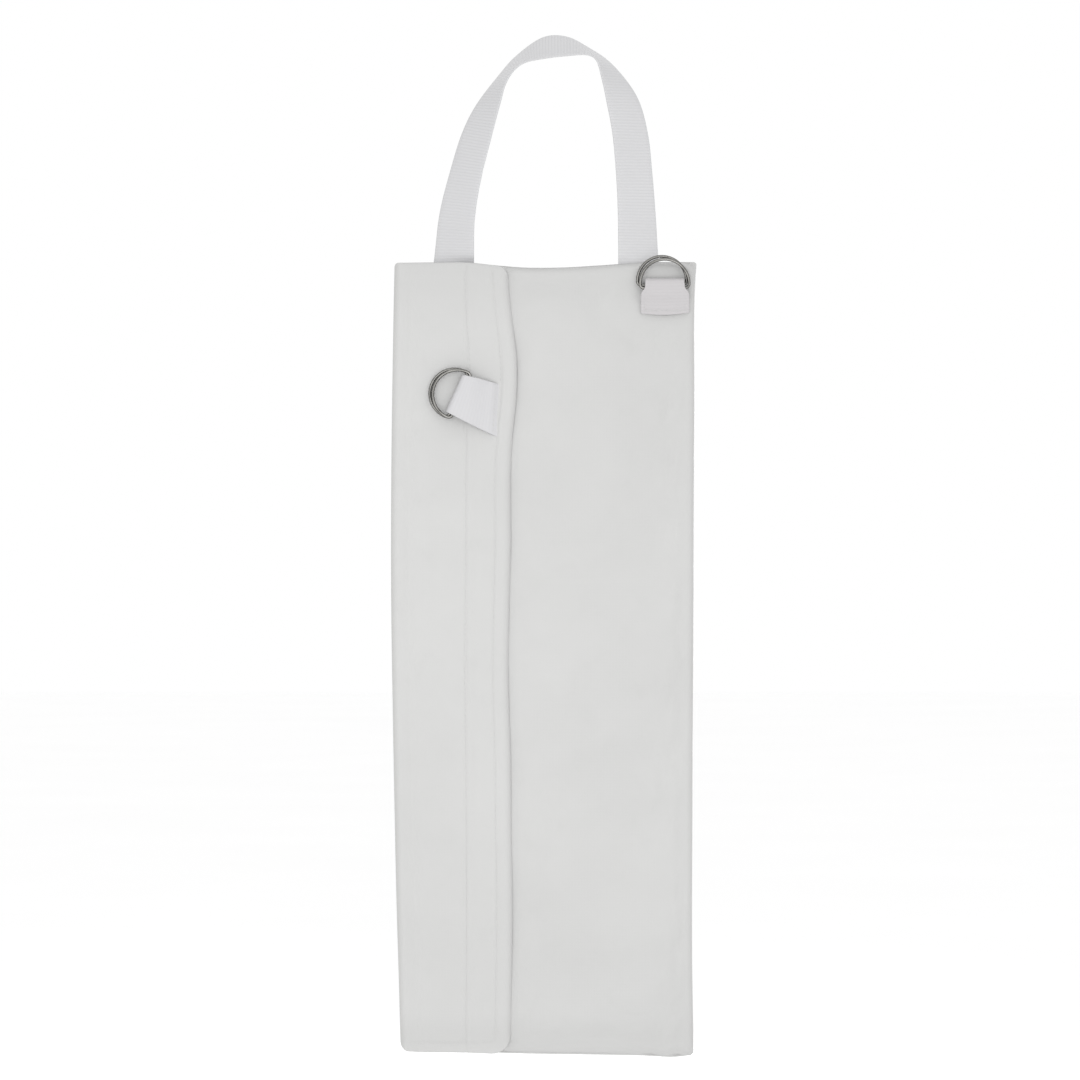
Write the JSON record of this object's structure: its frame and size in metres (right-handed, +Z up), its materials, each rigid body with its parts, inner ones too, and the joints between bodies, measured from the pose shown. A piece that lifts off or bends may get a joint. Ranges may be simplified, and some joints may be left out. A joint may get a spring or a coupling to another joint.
{
  "type": "fire blanket in a hanging pouch",
  "caption": "Folded fire blanket in a tall soft pouch that hangs from a webbing handle and opens by pulling rings on a full-length front flap",
  "frame": {"origin": "under the middle of the handle's crown, where a hook carries the pouch, in line with the middle of the pouch's width and depth", "axes": "X to the right seen from the front, Y to the back, Z up"},
  "size_m": [0.185, 0.0333, 0.6296],
  "materials": {
    "pouch_cloth": "coated cloth, soft satin",
    "webbing": "ribbed woven webbing",
    "thread": "matte thread",
    "fastening_tape": "woven hook-and-loop tape",
    "ring_wire": "nickel plated wire",
    "glass_cloth": "woven glass cloth"
  },
  "bodies": {
    "handle": {"handle_webbing": "webbing"},
    "pouch": {"back_panel": "pouch_cloth", "front_panel": "pouch_cloth", "right_wall": "pouch_cloth", "top_wall": "pouch_cloth", "bottom_wall": "pouch_cloth", "loop_tape": "fastening_tape", "handle_ends": "webbing", "handle_stitching": "thread", "seam_stitching": "thread", "corner_tab": "webbing", "corner_tab_stitching": "thread", "fire_blanket": "glass_cloth", "blanket_grip_tape_upper": "webbing", "blanket_grip_tape_lower": "webbing"},
    "spine": {"flap_spine": "pouch_cloth"},
    "flap": {"flap_panel": "pouch_cloth", "hook_tape": "fastening_tape", "flap_edge_stitching": "thread", "tape_stitching": "thread", "pull_tab_end": "webbing", "pull_tab_stitching": "thread"},
    "pull_strap": {"pull_tab": "webbing"},
    "pull_ring_front": {"pull_ring_front": "ring_wire"},
    "pull_ring_back": {"pull_ring_back": "ring_wire"},
    "corner_ring_front": {"corner_ring_front": "ring_wire"},
    "corner_ring_back": {"corner_ring_back": "ring_wire"}
  },
  "joints": [
    {"name": "pouch_swing", "type": "hinge", "parent": "handle", "child": "pouch", "pos_m": [0, 0, -0.1308], "axis": [1, 0, 0], "range_deg": [-70, 80]},
    {"name": "spine_fold", "type": "hinge", "parent": "pouch", "child": "spine", "pos_m": [-0.0925, 0.0101, -0.3773], "axis": [0, 0, -1], "range_deg": [0, 90]},
    {"name": "flap_fold", "type": "hinge", "parent": "spine", "child": "flap", "pos_m": [-0.0925, -0.0134, -0.3773], "axis": [0, 0, -1], "range_deg": [0, 170]},
    {"name": "pull_tab_lift", "type": "hinge", "parent": "flap", "child": "pull_strap", "pos_m": [-0.0315, -0.0169, -0.222], "axis": [0, 0, 1], "range_deg": [0, 150]},
    {"name": "pull_ring_front_turn", "type": "hinge", "parent": "pull_strap", "child": "pull_ring_front", "pos_m": [-0.0507, -0.01875, -0.21515], "axis": [0.4226, 0, 0.9063], "range_deg": [0, 90]},
    {"name": "pull_ring_back_turn", "type": "hinge", "parent": "pull_strap", "child": "pull_ring_back", "pos_m": [-0.05255, -0.01675, -0.2145], "axis": [0.4226, 0, 0.9063], "range_deg": [0, 90]},
    {"name": "corner_ring_front_turn", "type": "hinge", "parent": "pouch", "child": "corner_ring_front", "pos_m": [0.0746, -0.01525, -0.1483], "axis": [1, 0, 0.0087], "range_deg": [0, 90]},
    {"name": "corner_ring_back_turn", "type": "hinge", "parent": "pouch", "child": "corner_ring_back", "pos_m": [0.073, -0.01325, -0.1464], "axis": [1, 0, 0.0087], "range_deg": [0, 90]}
  ],
  "couplings": [
    {"joint": "pull_ring_back_turn", "follows": "pull_ring_front_turn", "ratio": 1},
    {"joint": "corner_ring_back_turn", "follows": "corner_ring_front_turn", "ratio": 1}
  ]
}
